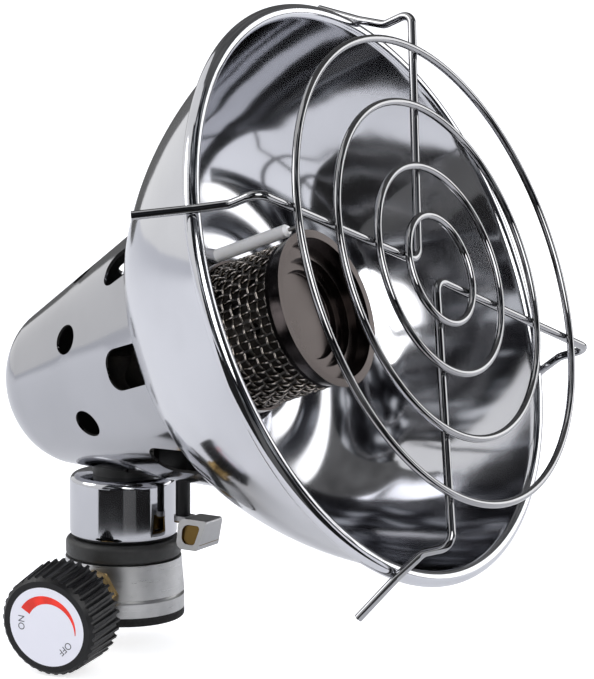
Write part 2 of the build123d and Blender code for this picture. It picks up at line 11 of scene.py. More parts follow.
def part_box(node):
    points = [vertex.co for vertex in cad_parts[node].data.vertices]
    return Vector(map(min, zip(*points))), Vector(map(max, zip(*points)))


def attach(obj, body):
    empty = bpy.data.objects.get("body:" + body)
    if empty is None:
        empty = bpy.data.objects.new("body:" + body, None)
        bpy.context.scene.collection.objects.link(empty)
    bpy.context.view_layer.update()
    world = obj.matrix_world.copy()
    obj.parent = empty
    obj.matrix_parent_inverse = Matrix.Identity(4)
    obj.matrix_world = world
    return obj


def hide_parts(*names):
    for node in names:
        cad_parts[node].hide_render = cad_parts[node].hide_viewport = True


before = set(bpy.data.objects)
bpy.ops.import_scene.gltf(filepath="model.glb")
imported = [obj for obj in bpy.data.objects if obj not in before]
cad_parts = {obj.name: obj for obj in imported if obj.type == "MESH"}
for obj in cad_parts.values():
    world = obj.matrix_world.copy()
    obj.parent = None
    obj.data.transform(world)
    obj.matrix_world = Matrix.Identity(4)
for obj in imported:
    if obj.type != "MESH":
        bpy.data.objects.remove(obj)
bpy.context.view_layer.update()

bl_info = {
    "name": "Propane Heater Looks",
    "version": (1, 0, 0),
    "blender": (4, 5, 0),
    "location": "View3D > Sidebar > Heater",
    "description": "Dresses the heater's metal, burner, knob and igniter, and sets up its studio",
    "category": "Object",
}

# The head looks forward along -Y and up by this many degrees, from a point on the neck's axis.
HEAD_TILT = radians(21.0)
HEAD_HEIGHT = 0.059
FORWARD = Vector((0, -cos(HEAD_TILT), sin(HEAD_TILT)))
UPWARD = Vector((0, sin(HEAD_TILT), cos(HEAD_TILT)))
# Places a mesh made round +Z, with its X to the side and its Y upwards, on the head's axis.
HEAD_PLACE = Matrix((
    (1, 0, 0, 0),
    (0, UPWARD.y, FORWARD.y, 0),
    (0, UPWARD.z, FORWARD.z, HEAD_HEIGHT),
    (0, 0, 0, 1),
))

HEAD_ORIGIN = Vector((0, 0, HEAD_HEIGHT))
# The rear shroud's own axis droops by three degrees against the bowl's.
SHROUD_DROOP = radians(18.0)
SHROUD_AXIS = Vector((0, -cos(SHROUD_DROOP), sin(SHROUD_DROOP)))

# The bowl's profile, in metres: its sheet, the back of its floor, the hole in the floor, the outside
# and the centre of its flare as (radius from the head's axis, distance along it), the arc from the
# floor into the flare, where the rim starts and how it curls, and the bevel on the floor's back.
BOWL_SHEET = 0.0008
BOWL_BACK = 0.0348
BOWL_HOLE = 0.009
BOWL_FLARE_RADIUS = 0.093
BOWL_FLARE_CENTRE = (-0.0219, 0.1023)
BOWL_BLEND_RADIUS = 0.030
BOWL_RIM_START = 0.0759
BOWL_CURL = 0.0015
BOWL_CURL_TURN = 270
BOWL_BEVEL = (0.0016, 0.0012)
BOWL_STEPS = 192

# The woven sleeve of the burner: radius of its middle and its ends along the head's axis.
SLEEVE_RADIUS = 0.0173
SLEEVE_START = 0.0364
SLEEVE_END = 0.0571

# The trigger's pressed sides, which get painted shade with a painted warm reflection: their lean, a
# level between their face and their edge, and the bottom, top and front of the pressed area.
TRIGGER_FLARE = 0.171
TRIGGER_SIDE = 0.00785
TRIGGER_WINDOW = (0.0208, 0.0257, -0.0250)

# The knob's axis, from the neck outwards, swings towards -Y and dips below the horizontal.
SPINDLE_HEIGHT = 0.0102
SPINDLE_SWING = radians(6.3)
SPINDLE_DIP = radians(7.3)
SPINDLE_OUT = Vector((
    -cos(SPINDLE_SWING) * cos(SPINDLE_DIP), -sin(SPINDLE_SWING) * cos(SPINDLE_DIP), -sin(SPINDLE_DIP),
))
THREAD_RADIUS = 0.00515
THREAD_DEPTH = 0.007
# The thread's ridge: its foot sinks this far into the bore's wall. Its height, half the width of its
# foot and the level of its start are shares of the pitch.
RIDGE_SINK = 0.00002
RIDGE_HEIGHT = 0.35
RIDGE_HALF_WIDTH = 0.42
RIDGE_START = 0.6
RIDGE_STEPS = 40
# On the dial X points to the right and Y upwards for someone who looks at the knob's face.
DIAL_RIGHT = Vector((sin(SPINDLE_SWING), -cos(SPINDLE_SWING), 0))
DIAL_UP = SPINDLE_OUT.cross(DIAL_RIGHT)
DIAL_FRONT = 0.0391
DIAL_PLACE = Matrix.Translation(SPINDLE_OUT * DIAL_FRONT + Vector((0, 0, SPINDLE_HEIGHT))) @ Matrix(
    (DIAL_RIGHT, DIAL_UP, SPINDLE_OUT)).transposed().to_4x4()
# The print lies this far over the dial's face. Angles on the dial are in degrees from its right.
DIAL_LIFT = 0.00003
DIAL_BAND_ENDS = (147, -10)
DIAL_BAND_WIDTHS = (0.0026, 0.0002)
DIAL_TEXT_SIZE = 0.0024
DIAL_TEXT_RADIUS = 0.0067
DIAL_WORDS = (("dial_on", "ON", 176), ("dial_off", "OFF", -47))

# Colours that aren't settings. Heated steels have a cool and a warm tone.
DARK_STEEL = ((0.05, 0.047, 0.043), (0.09, 0.08, 0.07))
CORE_STEEL = ((0.05, 0.045, 0.04), (0.10, 0.09, 0.08))
INNER_STEEL = ((0.30, 0.29, 0.28), (0.48, 0.44, 0.38))
GAUZE_STEEL = ((0.24, 0.22, 0.20), (0.52, 0.47, 0.42))
CAP_STEEL = (0.068, 0.057, 0.054)
CERAMIC = [(0.20, (0.88, 0.87, 0.86)), (0.38, (0.97, 0.965, 0.96))]
SHROUD_INSIDE = (0.02, 0.019, 0.018)
TRIGGER_FACE = (0.42, 0.42, 0.425)
# Painted shade with a painted warm reflection, inside the trigger's pressed sides.
TRIGGER_PAINTED_RECESS = (0.15, 0.095, 0.03)
RUBBER = (0.006, 0.006, 0.006)
COLLAR = (0.030, 0.030, 0.029)
DIAL_INK = (0.07, 0.07, 0.08)
# The neck and the shroud take darker copies of the bowl's chrome, as painted shade.
NECK_PAINTED_SHADE = 0.84
SHROUD_PAINTED_SHADE = 0.72

# The clouds on the studio's cloths: their scale, their shift and the tones of their ramp.
CLOUD_SCALE = 3.0
CLOUD_SHIFT = (0.3, 0.2, 0.25)
CLOUD_TONES = [
    (0.40, (0.004, 0.004, 0.005)), (0.50, (0.02, 0.021, 0.024)),
    (0.58, (0.10, 0.105, 0.118)), (0.70, (0.75, 0.77, 0.80)),
]
# Cards swept round the object: name, lower and upper edge as (reach, height over the floor), first
# and last azimuth, and the tone of a plain card, or None for a cloudy cloth. The first three stand
# and lie in front, the foot's strips give the neck upright bands, and the screen and the canopy
# darken the upper edges of the plating.
CARDS = (
    ("card_front", (1.5, 0.0), (1.5, 1.5), 168, 330, None),
    ("card_roof", (1.5, 1.5), (0.35, 2.2), 168, 330, None),
    ("card_ground", (0.55, 0.0), (1.5, 0.0), 185, 320, None),
    ("card_foot_0", (0.14, 0.001), (0.6, 0.001), 161, 214, 0.02),
    ("card_foot_1", (0.14, 0.001), (0.6, 0.001), 240, 272, 0.02),
    ("card_foot_middle", (0.14, 0.001), (0.6, 0.001), 214, 240, 0.14),
    ("card_screen", (1.3, 0.0), (1.3, 1.25), -50, 56, 0.13),
    ("card_canopy", (1.3, 1.25), (0.25, 2.1), -50, 56, 0.13),
)
CARD_STEPS = 24
# Lamps: name, place, the point they face, width and power in watts.
LAMPS = (
    ("key_lamp", (-0.70, -0.95, 0.62), (0, -0.03, 0.07), 0.9, 7.5),
    ("fill_lamp", (0.85, -0.65, 0.35), (0, -0.03, 0.07), 0.7, 2.5),
    ("back_lamp", (-0.5, 0.8, 0.7), (0, -0.02, 0.07), 0.6, 3.0),
)
ROOM_TINT = (0.9, 0.92, 1.0)
ROOM_STRENGTH = 0.75
# The floor's paper, and how much it glows when seen and when mirrored.
FLOOR_SIZE = 4.0
FLOOR_DROP = 0.0005
FLOOR_TINT = (0.92, 0.92, 0.92)
FLOOR_GLOW_SEEN = 0.62
FLOOR_GLOW_MIRRORED = 0.12
# The camera: where it stands seen from its target, its roll, and the target beside the neck's axis.
CAMERA_AZIMUTH = radians(-58.84)
CAMERA_ELEVATION = radians(9.17)
CAMERA_ROLL = radians(0.38)
CAMERA_DISTANCE = 0.78117
CAMERA_TARGET_HEIGHT = 0.06885
CAMERA_TARGET_SIDE = 0.04244
CAMERA_LENS = 169.7
CAMERA_SENSOR = 36.0

# Most of a noise texture's values lie between these two.
NOISE_LOW = 0.3
NOISE_HIGH = 0.7


# ---------------------------------------------------------------------------- settings

class HeaterSizes(bpy.types.PropertyGroup):
    weave_wires: IntProperty(
        name="Weave wires", description="Wires along the burner's woven sleeve, an even number",
        default=52, min=24, max=80, step=2,
    )
    weave_rings: IntProperty(
        name="Weave rings", description="Wires that run round the burner's woven sleeve",
        default=9, min=4, max=16,
    )
    weave_gauge: FloatProperty(
        name="Weave gauge", description="Diameter of the burner's woven wire",
        default=0.0007, min=0.0002, max=0.001, subtype="DISTANCE", unit="LENGTH",
    )
    dial_arc: FloatProperty(
        name="Dial arc", description="Outer radius of the red band on the dial",
        default=0.0078, min=0.004, max=0.009, subtype="DISTANCE", unit="LENGTH",
    )
    thread_pitch: FloatProperty(
        name="Thread pitch", description="Pitch of the canister thread, 28 turns to the inch",
        default=0.000907, min=0.0005, max=0.002, subtype="DISTANCE", unit="LENGTH",
    )


class HeaterColours(bpy.types.PropertyGroup):
    chrome: FloatVectorProperty(
        name="Chrome", description="Plated bowl, shroud and neck",
        default=(0.565, 0.57, 0.60), size=3, min=0, max=1, subtype="COLOR",
    )
    wire: FloatVectorProperty(
        name="Wire", description="Plated guard wire",
        default=(0.34, 0.34, 0.35), size=3, min=0, max=1, subtype="COLOR",
    )
    valve: FloatVectorProperty(
        name="Valve", description="Satin valve body",
        default=(0.48, 0.48, 0.48), size=3, min=0, max=1, subtype="COLOR",
    )
    knob: FloatVectorProperty(
        name="Knob", description="Moulded knob and igniter",
        default=(0.005, 0.005, 0.0055), size=3, min=0, max=1, subtype="COLOR",
    )
    dial: FloatVectorProperty(
        name="Dial", description="Face of the knob",
        default=(0.74, 0.74, 0.80), size=3, min=0, max=1, subtype="COLOR",
    )
    dial_red: FloatVectorProperty(
        name="Dial red", description="Band printed on the dial",
        default=(0.72, 0.035, 0.02), size=3, min=0, max=1, subtype="COLOR",
    )
    brass: FloatVectorProperty(
        name="Brass", description="Gland, stem, jet and other brass",
        default=(0.58, 0.40, 0.17), size=3, min=0, max=1, subtype="COLOR",
    )


# ---------------------------------------------------------------------------- materials

def start_material(name):
    """A new material, its node tree and its Principled shader."""
    material = bpy.data.materials.new(name)
    material.use_nodes = True
    tree = material.node_tree
    return material, tree, tree.nodes["Principled BSDF"]


def add_node(tree, kind, x, y, **settings):
    """A node at a place in the tree, with its properties set."""
    node = tree.nodes.new(kind)
    node.location = (x, y)
    for key, value in settings.items():
        setattr(node, key, value)
    return node


def add_noise(tree, x, y, scale, detail=3.0, stretch=(1, 1, 1), shift=(0, 0, 0)):
    """Noise on the piece's own coordinates, stretched and shifted along its axes."""
    place = add_node(tree, "ShaderNodeTexCoord", x - 400, y)
    mapping = add_node(tree, "ShaderNodeMapping", x - 200, y)
    mapping.inputs["Scale"].default_value = stretch
    mapping.inputs["Location"].default_value = shift
    noise = add_node(tree, "ShaderNodeTexNoise", x, y)
    noise.inputs["Scale"].default_value = scale
    noise.inputs["Detail"].default_value = detail
    tree.links.new(place.outputs["Object"], mapping.inputs["Vector"])
    tree.links.new(mapping.outputs["Vector"], noise.inputs["Vector"])
    return noise


def add_range(tree, source, x, y, low, high):
    """Maps a noise texture's value between two limits."""
    span = add_node(tree, "ShaderNodeMapRange", x, y)
    span.inputs["From Min"].default_value = NOISE_LOW
    span.inputs["From Max"].default_value = NOISE_HIGH
    span.inputs["To Min"].default_value = low
    span.inputs["To Max"].default_value = high
    tree.links.new(source, span.inputs["Value"])
    return span


def add_ramp(tree, source, x, y, stops):
    """Colours a texture's value along a ramp of (position, colour) stops."""
    ramp = add_node(tree, "ShaderNodeValToRGB", x, y)
    points = ramp.color_ramp.elements
    while len(points) < len(stops):
        points.new(1.0)
    for point, (position, colour) in zip(points, stops):
        point.position = position
        point.color = (*colour, 1)
    tree.links.new(source, ramp.inputs["Fac"])
    return ramp


def add_bump(tree, shader, source, x, y, distance):
    """Feeds a height into the shader's normal."""
    bump = add_node(tree, "ShaderNodeBump", x, y)
    bump.inputs["Distance"].default_value = distance
    tree.links.new(source, bump.inputs["Height"])
    tree.links.new(bump.outputs["Normal"], shader.inputs["Normal"])


def shade(colour, factor):
    """A colour made lighter or darker, held within range."""
    return tuple(min(max(part * factor, 0.0), 1.0) for part in colour)


def add_tones(tree, source, x, y, colour, dark, light):
    """Varies a colour between two tones of itself, each a (position, factor) pair."""
    stops = [(position, shade(colour, factor)) for position, factor in (dark, light)]
    return add_ramp(tree, source, x, y, stops).outputs["Color"]


def add_blend(tree, factor, x, y):
    """A mix of two colours; gives the sockets of both and of the result."""
    blend = add_node(tree, "ShaderNodeMix", x, y, data_type="RGBA")
    tree.links.new(factor, blend.inputs["Factor"])
    return blend.inputs[6], blend.inputs[7], blend.outputs[2]


def add_arm(tree, x, y, centre):
    """The piece's coordinates, and the arm from a centre to each of its points."""
    place = add_node(tree, "ShaderNodeTexCoord", x, y)
    arm = link_vector(tree, "SUBTRACT", x + 200, y, place.outputs["Object"], tuple(centre))
    return place, arm.outputs["Vector"]


def chrome_plate(name, colour, smear=0.10, ripple=0.00006):
    """Mirror plating on pressed sheet: faint ripples, smears and a slight change of tone."""
    material, tree, shader = start_material(name)
    shader.inputs["Metallic"].default_value = 1.0
    smears = add_noise(tree, -500, 200, 55.0, 6.0)
    tone = add_tones(tree, smears.outputs["Fac"], -250, 300, colour, (0.30, 0.94), (0.62, 1.03))
    tree.links.new(tone, shader.inputs["Base Color"])
    polish = add_range(tree, smears.outputs["Fac"], -250, 50, smear * 0.45, smear)
    tree.links.new(polish.outputs["Result"], shader.inputs["Roughness"])
    ripples = add_noise(tree, -500, -250, 30.0, 1.0)
    add_bump(tree, shader, ripples.outputs["Fac"], -250, -250, ripple)
    return material


def turned_metal(name, colour, roughness, stretch=(40, 40, 900), wear=0.85):
    """Lathe-turned metal: fine lines round the axis and darker patches."""
    material, tree, shader = start_material(name)
    shader.inputs["Metallic"].default_value = 1.0
    patches = add_noise(tree, -500, 250, 160.0, 5.0)
    tone = add_tones(tree, patches.outputs["Fac"], -250, 300, colour, (0.32, wear), (0.66, 1.08))
    tree.links.new(tone, shader.inputs["Base Color"])
    lines = add_noise(tree, -500, -100, 4.0, 4.0, stretch)
    finish = add_range(tree, lines.outputs["Fac"], -250, 0, roughness * 0.75, roughness * 1.25)
    tree.links.new(finish.outputs["Result"], shader.inputs["Roughness"])
    add_bump(tree, shader, lines.outputs["Fac"], -250, -250, 0.00002)
    return material


def heated_steel(name, tones, roughness, grit=0.00002):
    """Stainless sheet that a flame has tinted, from a cool to a warm tone."""
    material, tree, shader = start_material(name)
    shader.inputs["Metallic"].default_value = 1.0
    tint = add_noise(tree, -500, 250, 90.0, 4.0)
    cool, warm = tones
    tone = add_ramp(tree, tint.outputs["Fac"], -250, 300,
                    [(0.34, cool), (0.52, shade(cool, 1.5)), (0.70, warm)])
    tree.links.new(tone.outputs["Color"], shader.inputs["Base Color"])
    grain = add_noise(tree, -500, -100, 1400.0, 3.0)
    finish = add_range(tree, grain.outputs["Fac"], -250, 0, roughness * 0.8, roughness * 1.3)
    tree.links.new(finish.outputs["Result"], shader.inputs["Roughness"])
    add_bump(tree, shader, grain.outputs["Fac"], -250, -250, grit)
    return material


def moulded_plastic(name, colour, roughness, grain=1800.0, depth=0.00003):
    """Moulded plastic or rubber with a fine grain and scuffs."""
    material, tree, shader = start_material(name)
    scuffs = add_noise(tree, -500, 250, 240.0, 5.0)
    tone = add_tones(tree, scuffs.outputs["Fac"], -250, 300, colour, (0.35, 0.85), (0.75, 1.35))
    tree.links.new(tone, shader.inputs["Base Color"])
    pores = add_noise(tree, -500, -100, grain, 2.0)
    finish = add_range(tree, pores.outputs["Fac"], -250, 0, roughness * 0.85, roughness * 1.2)
    tree.links.new(finish.outputs["Result"], shader.inputs["Roughness"])
    add_bump(tree, shader, pores.outputs["Fac"], -250, -250, depth)
    shader.inputs["Specular IOR Level"].default_value = 0.3
    return material


def printed_face(name, colour):
    """Smooth printed plate with a barely uneven gloss."""
    material, tree, shader = start_material(name)
    shader.inputs["Base Color"].default_value = (*colour, 1)
    haze = add_noise(tree, -500, 0, 300.0, 2.0)
    gloss = add_range(tree, haze.outputs["Fac"], -250, 0, 0.36, 0.44)
    tree.links.new(gloss.outputs["Result"], shader.inputs["Roughness"])
    return material


def link_math(tree, kind, x, y, *sources):
    """A math node fed by sockets or numbers."""
    node = add_node(tree, "ShaderNodeMath", x, y, operation=kind)
    for number, source in enumerate(sources):
        if isinstance(source, (int, float)):
            node.inputs[number].default_value = source
        else:
            tree.links.new(source, node.inputs[number])
    return node.outputs["Value"]


def link_vector(tree, kind, x, y, *sources):
    """A vector math node fed by sockets or triples."""
    node = add_node(tree, "ShaderNodeVectorMath", x, y, operation=kind)
    for number, source in enumerate(sources):
        if isinstance(source, bpy.types.NodeSocket):
            tree.links.new(source, node.inputs[number])
        else:
            node.inputs[number].default_value = source
    return node


def spun_chrome(name, colour, centre, axis, smear=0.10, ring_pitch=0.0055):
    """Plated sheet spun round an axis: its highlights spread along the profile, with faint rings."""
    material, tree, shader = start_material(name)
    shader.inputs["Metallic"].default_value = 1.0
    _, arm = add_arm(tree, -1500, 0, centre)
    round_axis = link_vector(tree, "CROSS_PRODUCT", -1100, -150, tuple(axis), arm)
    tangent = link_vector(tree, "NORMALIZE", -900, -150, round_axis.outputs["Vector"])
    tree.links.new(tangent.outputs["Vector"], shader.inputs["Tangent"])
    shader.inputs["Anisotropic"].default_value = 0.7
    shader.inputs["Anisotropic Rotation"].default_value = 0.25
    smears = add_noise(tree, -500, 250, 45.0, 5.0)
    tone = add_tones(tree, smears.outputs["Fac"], -250, 300, colour, (0.30, 0.95), (0.62, 1.03))
    tree.links.new(tone, shader.inputs["Base Color"])
    polish = add_range(tree, smears.outputs["Fac"], -250, 50, smear * 0.75, smear)
    tree.links.new(polish.outputs["Result"], shader.inputs["Roughness"])
    reach = link_vector(tree, "LENGTH", -1100, -350, arm)
    rings = add_node(tree, "ShaderNodeTexNoise", -500, -250, noise_dimensions="1D")
    rings.inputs["Scale"].default_value = 1.0 / ring_pitch
    rings.inputs["Detail"].default_value = 0.0
    tree.links.new(reach.outputs["Value"], rings.inputs["W"])
    add_bump(tree, shader, rings.outputs["Fac"], -250, -250, 0.00002)
    return material


def two_sided_plate(name, outside, inside, centre, axis, plated_roughness=0.11, dull_roughness=0.6):
    """Plated sheet whose face towards an axis is dull and dark."""
    material, tree, shader = start_material(name)
    place, arm = add_arm(tree, -1500, 0, centre)
    along = link_vector(tree, "DOT_PRODUCT", -1100, -100, arm, tuple(axis))
    shift = link_vector(tree, "SCALE", -900, -100, tuple(axis))
    tree.links.new(along.outputs["Value"], shift.inputs["Scale"])
    outward = link_vector(tree, "SUBTRACT", -700, 0, arm, shift.outputs["Vector"])
    facing = link_vector(tree, "DOT_PRODUCT", -500, 0,
                         outward.outputs["Vector"], place.outputs["Normal"])
    plated = link_math(tree, "GREATER_THAN", -350, 0, facing.outputs["Value"], 0.0)
    smears = add_noise(tree, -500, 400, 50.0, 5.0)
    tone = add_tones(tree, smears.outputs["Fac"], -300, 400, outside, (0.30, 0.95), (0.62, 1.03))
    dull, bright, result = add_blend(tree, plated, -100, 300)
    dull.default_value = (*inside, 1)
    tree.links.new(tone, bright)
    tree.links.new(result, shader.inputs["Base Color"])
    tree.links.new(plated, shader.inputs["Metallic"])
    polish = add_node(tree, "ShaderNodeMapRange", -100, 0)
    polish.inputs["To Min"].default_value = dull_roughness
    polish.inputs["To Max"].default_value = plated_roughness
    tree.links.new(plated, polish.inputs["Value"])
    tree.links.new(polish.outputs["Result"], shader.inputs["Roughness"])
    return material


def dished_steel(name, face, painted_recess):
    """Satin pressed steel, painted darker and warm inside the pressed sides of the trigger: painted
    shade with a painted warm reflection.
    """
    material, tree, shader = start_material(name)
    shader.inputs["Metallic"].default_value = 1.0
    place = add_node(tree, "ShaderNodeTexCoord", -1300, 0)
    parts = add_node(tree, "ShaderNodeSeparateXYZ", -1100, 0)
    tree.links.new(place.outputs["Object"], parts.inputs["Vector"])
    side = link_math(tree, "ABSOLUTE", -900, 100, parts.outputs["X"])
    # the sides lean, so their distance from the middle grows downwards
    level = link_math(tree, "MULTIPLY_ADD", -700, 100, parts.outputs["Z"], TRIGGER_FLARE, side)
    sunk = link_math(tree, "LESS_THAN", -500, 200, level, TRIGGER_SIDE)
    above = link_math(tree, "GREATER_THAN", -500, 50, parts.outputs["Z"], TRIGGER_WINDOW[0])
    below = link_math(tree, "LESS_THAN", -500, -100, parts.outputs["Z"], TRIGGER_WINDOW[1])
    behind = link_math(tree, "GREATER_THAN", -500, -250, parts.outputs["Y"], TRIGGER_WINDOW[2])
    high = link_math(tree, "MULTIPLY", -350, 100, above, below)
    deep = link_math(tree, "MULTIPLY", -350, -50, sunk, behind)
    inside = link_math(tree, "MULTIPLY", -200, 0, high, deep)
    # inside the pressed area the colour turns to painted shade with a painted warm reflection
    plain, warm, result = add_blend(tree, inside, -50, 200)
    plain.default_value = (*face, 1)
    warm.default_value = (*painted_recess, 1)
    tree.links.new(result, shader.inputs["Base Color"])
    grain = add_noise(tree, -500, -450, 900.0, 3.0)
    finish = add_range(tree, grain.outputs["Fac"], -250, -450, 0.30, 0.42)
    tree.links.new(finish.outputs["Result"], shader.inputs["Roughness"])
    return material


def glazed_ceramic(name):
    """White electrode ceramic with faint speckles."""
    material, tree, shader = start_material(name)
    speckles = add_noise(tree, -500, 250, 900.0, 3.0)
    tone = add_ramp(tree, speckles.outputs["Fac"], -250, 300, CERAMIC)
    tree.links.new(tone.outputs["Color"], shader.inputs["Base Color"])
    shader.inputs["Roughness"].default_value = 0.3
    shader.inputs["Subsurface Weight"].default_value = 0.1
    shader.inputs["Subsurface Radius"].default_value = (0.0008, 0.0007, 0.0006)
    return material


def dress(node, material):
    """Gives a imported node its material."""
    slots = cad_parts[node].data.materials
    slots.clear()
    slots.append(material)


# ---------------------------------------------------------------------------- mesh helpers

def finish_piece(name, mesh_maker, material, body, replaced=(), smooth=True):
    """Turns a bmesh into a piece that rides on a body, with its place in its mesh."""
    mesh = bpy.data.meshes.new(name)
    mesh_maker.to_mesh(mesh)
    mesh_maker.free()
    piece = bpy.data.objects.new(name, mesh)
    bpy.context.scene.collection.objects.link(piece)
    mesh.materials.append(material)
    for face in mesh.polygons:
        face.use_smooth = smooth
    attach(piece, body)
    if replaced:
        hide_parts(*replaced)


def arc_points(centre, radius, start, end, count):
    """Points on an arc from one angle to another, in degrees, as (radius, distance) pairs."""
    return [
        (centre[0] + radius * cos(radians(angle)), centre[1] + radius * sin(radians(angle)))
        for angle in (start + (end - start) * number / count for number in range(count + 1))
    ]


def bowl_profile():
    """The closed outline of the bowl's sheet: floor, flare and rolled rim, inside and outside."""
    centre_reach, centre_height = BOWL_FLARE_CENTRE
    half = BOWL_SHEET / 2
    outside = BOWL_FLARE_RADIUS
    middle, inside = outside - half, outside - BOWL_SHEET
    # angles are in degrees below the level of the flare's centre
    rim = degrees(asin((centre_height - BOWL_RIM_START) / middle))
    back = degrees(asin((centre_height - BOWL_BACK - BOWL_BEVEL[1]) / outside))
    # the arc from the floor into the flare touches both
    blend_height = BOWL_BACK + BOWL_SHEET + BOWL_BLEND_RADIUS
    drop, span = centre_height - blend_height, inside - BOWL_BLEND_RADIUS
    blend = (centre_reach + sqrt(span ** 2 - drop ** 2), blend_height)
    touch = degrees(asin(drop / span))
    curl_reach = middle + BOWL_CURL
    curl = (
        centre_reach + curl_reach * cos(radians(rim)),
        centre_height - curl_reach * sin(radians(rim)),
    )
    first, last = 180 - rim, 180 - rim - BOWL_CURL_TURN
    profile = [(BOWL_HOLE, BOWL_BACK + BOWL_SHEET)]
    profile += arc_points(blend, BOWL_BLEND_RADIUS, -90, -touch, 24)
    profile += arc_points(BOWL_FLARE_CENTRE, inside, -touch, -rim, 40)[1:]
    profile += arc_points(curl, BOWL_CURL + half, first, last, 30)[1:]
    profile += arc_points(curl, BOWL_CURL - half, last, first, 24)
    profile += arc_points(BOWL_FLARE_CENTRE, outside, -rim, -back, 40)[1:]
    profile += [(profile[-1][0] - BOWL_BEVEL[0], BOWL_BACK), (BOWL_HOLE, BOWL_BACK)]
    return profile


def spun_bowl(steps):
    """The bowl's sheet, its outline spun round the head's axis."""
    profile = bowl_profile()
    maker = bmesh.new()
    points = [maker.verts.new((reach, 0, height)) for reach, height in profile]
    edges = [maker.edges.new(pair) for pair in zip(points, points[1:] + points[:1])]
    bmesh.ops.spin(maker, geom=edges, axis=(0, 0, 1), cent=(0, 0, 0), steps=steps, angle=tau,
                   use_merge=True)
    bmesh.ops.recalc_face_normals(maker, faces=maker.faces[:])
    bmesh.ops.transform(maker, matrix=HEAD_PLACE, verts=maker.verts[:])
    return maker


def weave_phase(number):
    """Side of the sleeve's middle on which a wire starts."""
    return 1 if number % 2 == 0 else -1


def woven_sleeve(radius, start, end, wires, rings, gauge, sides=6):
    """Plain-woven wire sleeve round +Z: wires along it and rings round it, over and under in turn."""
    maker = bmesh.new()
    pitch = (end - start - gauge) / (rings - 1)
    first = start + gauge / 2
    # two straight wires of opposite phase, each copied round every second place
    for phase in (0, 1):
        wire = bmesh.ops.create_cone(
            maker, cap_ends=True, segments=sides, radius1=gauge / 2, radius2=gauge / 2,
            depth=end - start, matrix=Matrix.Translation((0, 0, (start + end) / 2)),
        )
        along = {
            edge for vert in wire["verts"] for edge in vert.link_edges
            if abs(edge.verts[0].co.z - edge.verts[1].co.z) > gauge
        }
        bmesh.ops.subdivide_edges(maker, edges=list(along), cuts=4 * rings)
        shape = [vert for vert in maker.verts if vert.co.x < radius / 2 and not vert.tag]
        turn = Matrix.Rotation(tau * phase / wires, 3, "Z")
        for vert in shape:
            wave = cos((vert.co.z - first) / pitch * tau / 2) * weave_phase(phase)
            vert.co = turn @ (vert.co + Vector((radius + wave * gauge / 2, 0, 0)))
            vert.tag = True
        faces = {face for vert in shape for face in vert.link_faces}
        bmesh.ops.spin(
            maker, geom=list(faces), axis=(0, 0, 1), cent=(0, 0, 0), steps=wires // 2 - 1,
            angle=tau * (wires // 2 - 1) / (wires // 2), use_duplicate=True,
        )
        for vert in maker.verts:
            vert.tag = True
    # each ring is a small circle spun round the sleeve, then waved
    for ring in range(rings):
        height = first + ring * pitch
        circle = bmesh.ops.create_circle(
            maker, segments=sides, radius=gauge / 2,
            matrix=Matrix.Translation((radius, 0, height)) @ Matrix.Rotation(tau / 4, 4, "X"),
        )
        edges = {edge for vert in circle["verts"] for edge in vert.link_edges}
        before = set(maker.verts)
        bmesh.ops.spin(maker, geom=list(edges), axis=(0, 0, 1), cent=(0, 0, 0),
                       steps=wires * 4, angle=tau, use_merge=True)
        for vert in (set(maker.verts) - before) | set(circle["verts"]):
            angle = atan2(vert.co.y, vert.co.x)
            wave = -cos(angle * wires / 2) * weave_phase(ring)
            outward = Vector((cos(angle), sin(angle), 0))
            vert.co += outward * (wave * gauge / 2)
    bmesh.ops.recalc_face_normals(maker, faces=maker.faces[:])
    bmesh.ops.transform(maker, matrix=HEAD_PLACE, verts=maker.verts[:])
    return maker


def dial_band(outer):
    """Band on the dial that tapers inwards to nearly nothing, as a skin just over the face."""
    (start, end), (thick, thin) = DIAL_BAND_ENDS, DIAL_BAND_WIDTHS
    maker = bmesh.new()
    bmesh.ops.create_grid(maker, x_segments=48, y_segments=2, size=0.5)
    for vert in maker.verts:
        share, across = vert.co.x + 0.5, 0.5 - vert.co.y
        angle = radians(start + (end - start) * share)
        reach = outer - across * (thin + (thick - thin) * (1 - share ** 1.3))
        vert.co = (reach * cos(angle), reach * sin(angle), DIAL_LIFT)
    bmesh.ops.recalc_face_normals(maker, faces=maker.faces[:])
    if maker.faces[:][0].normal.z < 0:
        bmesh.ops.reverse_faces(maker, faces=maker.faces[:])
    bmesh.ops.transform(maker, matrix=DIAL_PLACE, verts=maker.verts[:])
    return maker


def dial_word(text, angle):
    """Word printed clockwise round the dial, made from a text curve and placed as a mesh."""
    curve = bpy.data.curves.new(text, "FONT")
    curve.body = text
    curve.size = DIAL_TEXT_SIZE
    curve.align_x = "CENTER"
    curve.align_y = "CENTER"
    holder = bpy.data.objects.new(text, curve)
    bpy.context.scene.collection.objects.link(holder)
    bpy.context.view_layer.update()
    evaluated = holder.evaluated_get(bpy.context.evaluated_depsgraph_get())
    mesh = bpy.data.meshes.new_from_object(evaluated)
    bpy.data.objects.remove(holder)
    bpy.data.curves.remove(curve)
    maker = bmesh.new()
    maker.from_mesh(mesh)
    bpy.data.meshes.remove(mesh)
    turn = radians(angle)
    spot = Vector((DIAL_TEXT_RADIUS * cos(turn), DIAL_TEXT_RADIUS * sin(turn), DIAL_LIFT))
    place = DIAL_PLACE @ Matrix.Translation(spot) @ Matrix.Rotation(turn - tau / 4, 4, "Z")
    bmesh.ops.transform(maker, matrix=place, verts=maker.verts[:])
    return maker


